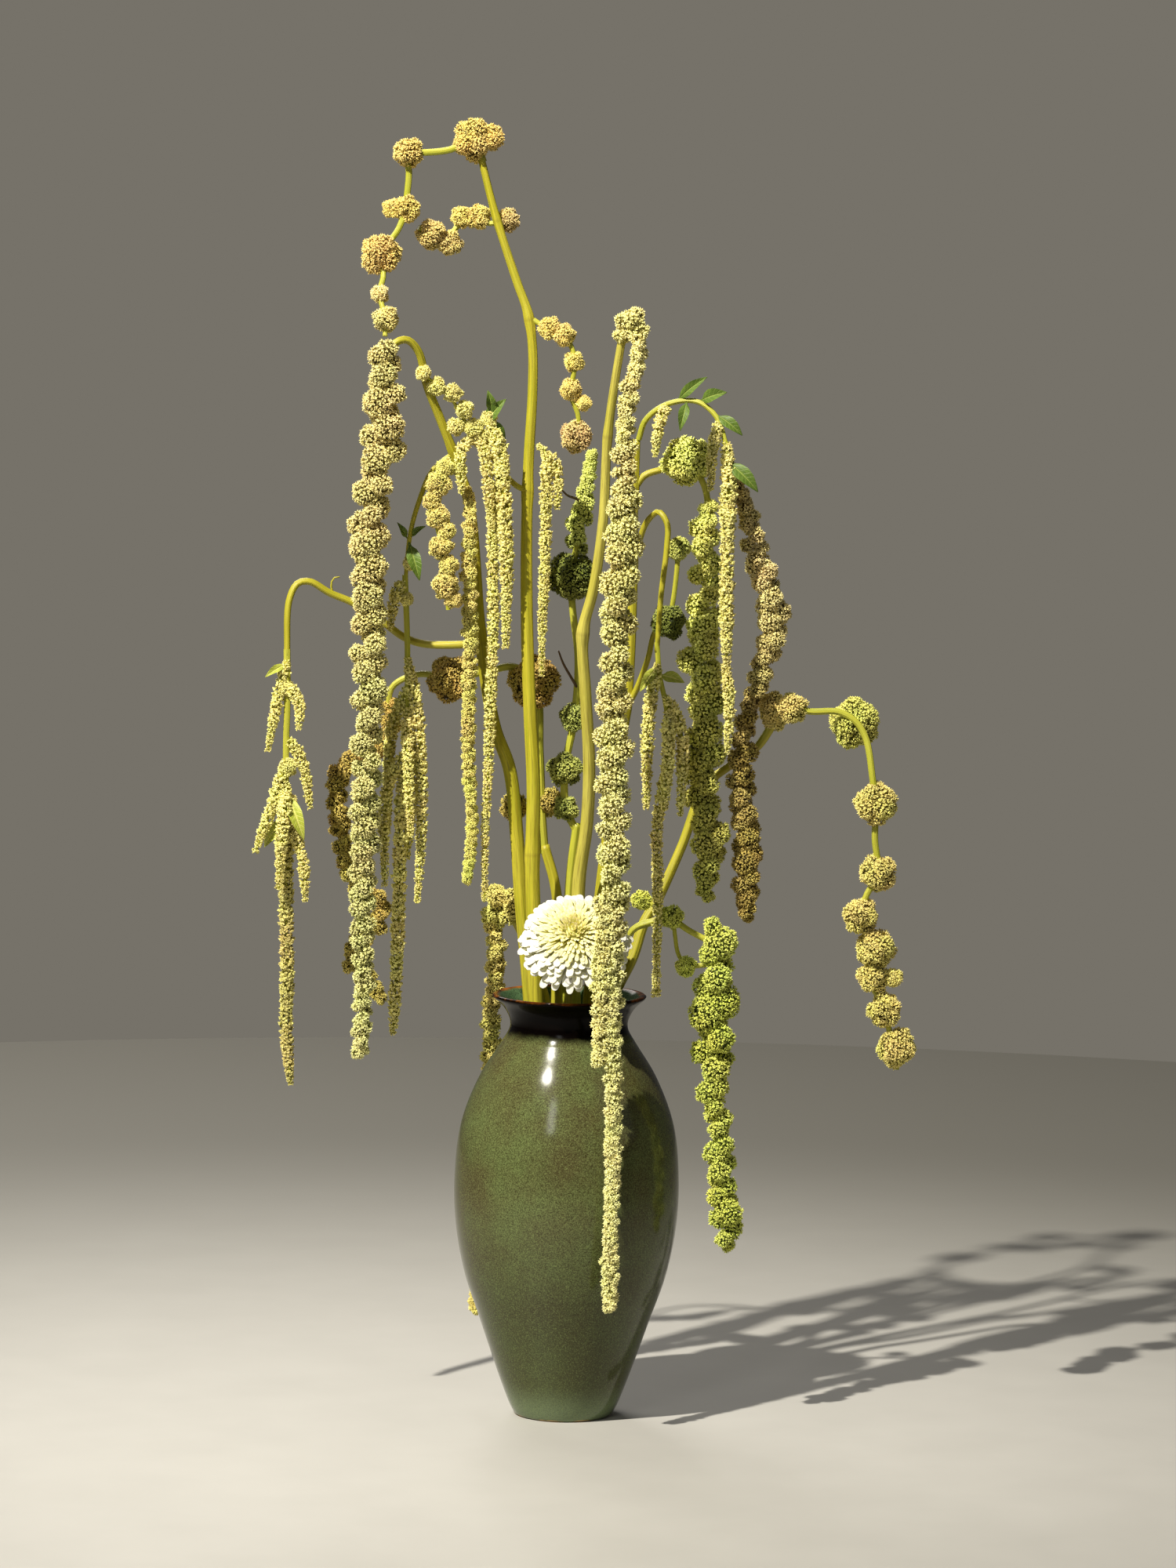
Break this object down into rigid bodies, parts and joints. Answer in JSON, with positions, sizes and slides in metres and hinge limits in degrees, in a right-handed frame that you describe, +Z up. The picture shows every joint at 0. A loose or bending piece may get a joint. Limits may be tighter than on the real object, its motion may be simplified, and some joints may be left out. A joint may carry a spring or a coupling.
{
  "type": "ikebana arrangement",
  "caption": "Tall asymmetric arrangement of hanging amaranth tassels, catkins and flower balls with a white double gerbera, standing in a narrow-necked glazed stoneware vase.",
  "frame": {"origin": "middle of the vase's flat foot, on the surface it stands on", "axes": "+Z up along the vase's axis; -Y is the front, where the gerbera and the longest tassel face; +X is to the right of the front"},
  "size_m": [0.4116, 0.1613, 0.8002],
  "materials": {
    "glaze": "gloss",
    "water": "gloss",
    "stalk": "satin",
    "scape": "satin",
    "florets_buff": "matte",
    "florets_yellow": "matte",
    "florets_straw": "matte",
    "florets_lime": "matte",
    "florets_khaki": "matte",
    "florets_rust": "matte",
    "florets_green": "matte",
    "catkins": "matte",
    "petal_white": "matte",
    "petal_cream": "matte",
    "petal_disc": "matte"
  },
  "bodies": {
    "root": {"vase": "glaze", "water": "water", "stem_tall": "stalk", "stem_arching": "stalk", "stem_center": "stalk", "stem_ball": "stalk", "stem_back": "stalk", "stem_right": "stalk", "stem_khaki": "stalk", "stem_lime": "stalk", "stem_trailing": "stalk", "stem_gerbera": "scape", "beads_top": "florets_buff", "beads_side": "florets_yellow", "cluster_right": "florets_yellow", "tassel_left": "florets_buff", "tassel_center": "florets_straw", "tassel_lime": "florets_lime", "cluster_low": "florets_lime", "tassel_green": "florets_lime", "tassel_brown": "florets_khaki", "beads_khaki": "florets_khaki", "tassel_back": "florets_rust", "head_ball": "florets_green", "beads_trailing": "florets_khaki", "spray_far_left": "catkins", "spray_left": "catkins", "catkins_lumpy": "florets_khaki", "catkins_arch": "florets_khaki", "shoot_leaves": "catkins", "catkin_front": "catkins", "catkins_tall": "catkins", "spray_right": "catkins", "spray_inner": "catkins", "ball_inner": "florets_green", "gerbera_involucre": "scape", "gerbera_rays": "petal_white", "gerbera_inner": "petal_cream", "gerbera_disc": "petal_disc"}
  },
  "joints": []
}
